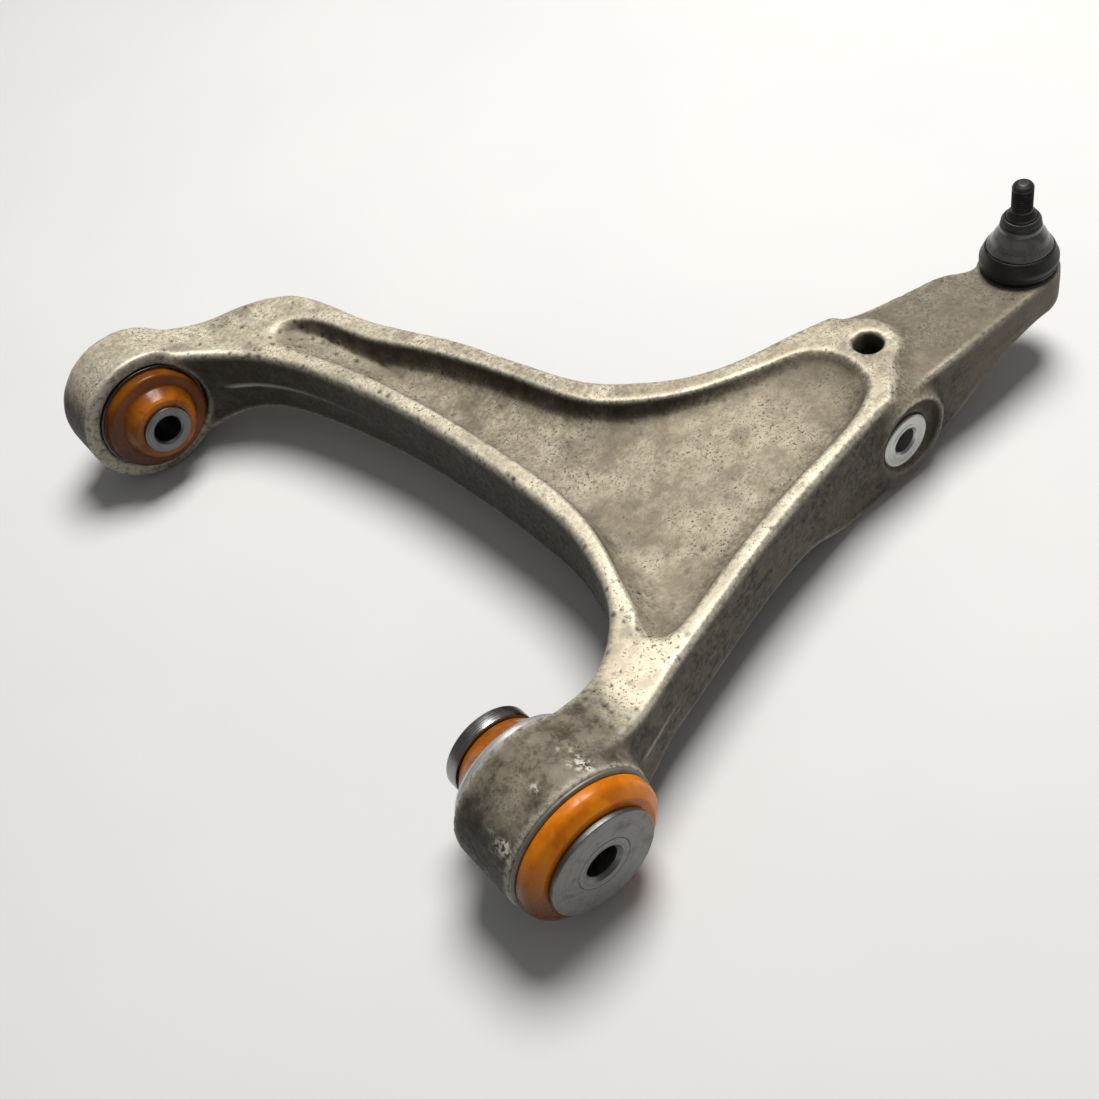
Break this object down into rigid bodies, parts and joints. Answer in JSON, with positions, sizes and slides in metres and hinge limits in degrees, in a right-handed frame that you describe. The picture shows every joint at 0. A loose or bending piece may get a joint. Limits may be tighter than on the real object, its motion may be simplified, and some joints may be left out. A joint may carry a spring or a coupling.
{
  "type": "suspension control arm",
  "caption": "Cast suspension control arm with two pivot bushes, a damper clevis eye and a ball joint with a threaded stud.",
  "frame": {"origin": "middle of the front pivot bush, on the pivot axis", "axes": "+Y along the pivot axis from the front bush to the rear bush, +X outboard to the ball joint, +Z towards the ball stud"},
  "size_m": [0.4038, 0.4215, 0.0993],
  "materials": {
    "cast_alloy": "weathered sand-cast surface",
    "urethane": "glossy polyurethane",
    "machined_steel": "turned",
    "dark_steel": "dark oxide",
    "black_steel": "satin black",
    "boot_rubber": "smooth, slightly glossy",
    "seat_plastic": "plain",
    "black_rubber": "satin"
  },
  "bodies": {
    "arm": {"arm_casting": "cast_alloy", "front_bush_shell": "dark_steel", "front_bush_outer_half": "urethane", "front_bush_inner_half": "urethane", "rear_bush_shell": "dark_steel", "rear_bush_near_half": "urethane", "rear_bush_far_half": "urethane", "damper_insert_near": "machined_steel", "damper_insert_far": "machined_steel", "ball_seat": "seat_plastic", "housing_ring": "black_steel"},
    "front_sleeve": {"front_bush_sleeve": "machined_steel", "front_face_washer": "machined_steel", "front_back_washer": "machined_steel"},
    "rear_sleeve": {"rear_bush_sleeve": "machined_steel"},
    "ball_lining": {"ball_liner": "seat_plastic", "boot_lower": "boot_rubber", "boot_upper": "boot_rubber"},
    "boot_top": {"boot_collar": "black_rubber"},
    "stud": {"ball_stud": "black_steel"}
  },
  "joints": [
    {"name": "front_sleeve_turn", "type": "hinge", "parent": "arm", "child": "front_sleeve", "pos_m": [0, 0, 0], "axis": [0, 1, 0], "continuous": true},
    {"name": "rear_sleeve_turn", "type": "hinge", "parent": "arm", "child": "rear_sleeve", "pos_m": [0, 0.357, 0], "axis": [0, 1, 0], "continuous": true},
    {"name": "stud_lean_direction", "type": "hinge", "parent": "arm", "child": "ball_lining", "pos_m": [0.347, 0.061, 0.01], "axis": [0, 0, 1], "continuous": true},
    {"name": "stud_lean", "type": "hinge", "parent": "ball_lining", "child": "boot_top", "pos_m": [0.347, 0.061, 0.01], "axis": [1, 0, 0], "range_deg": [-18, 18], "deforming": ["boot_lower", "boot_upper"]},
    {"name": "stud_spin", "type": "hinge", "parent": "boot_top", "child": "stud", "pos_m": [0.347, 0.061, 0.01], "axis": [0, 0, 1], "continuous": true}
  ]
}
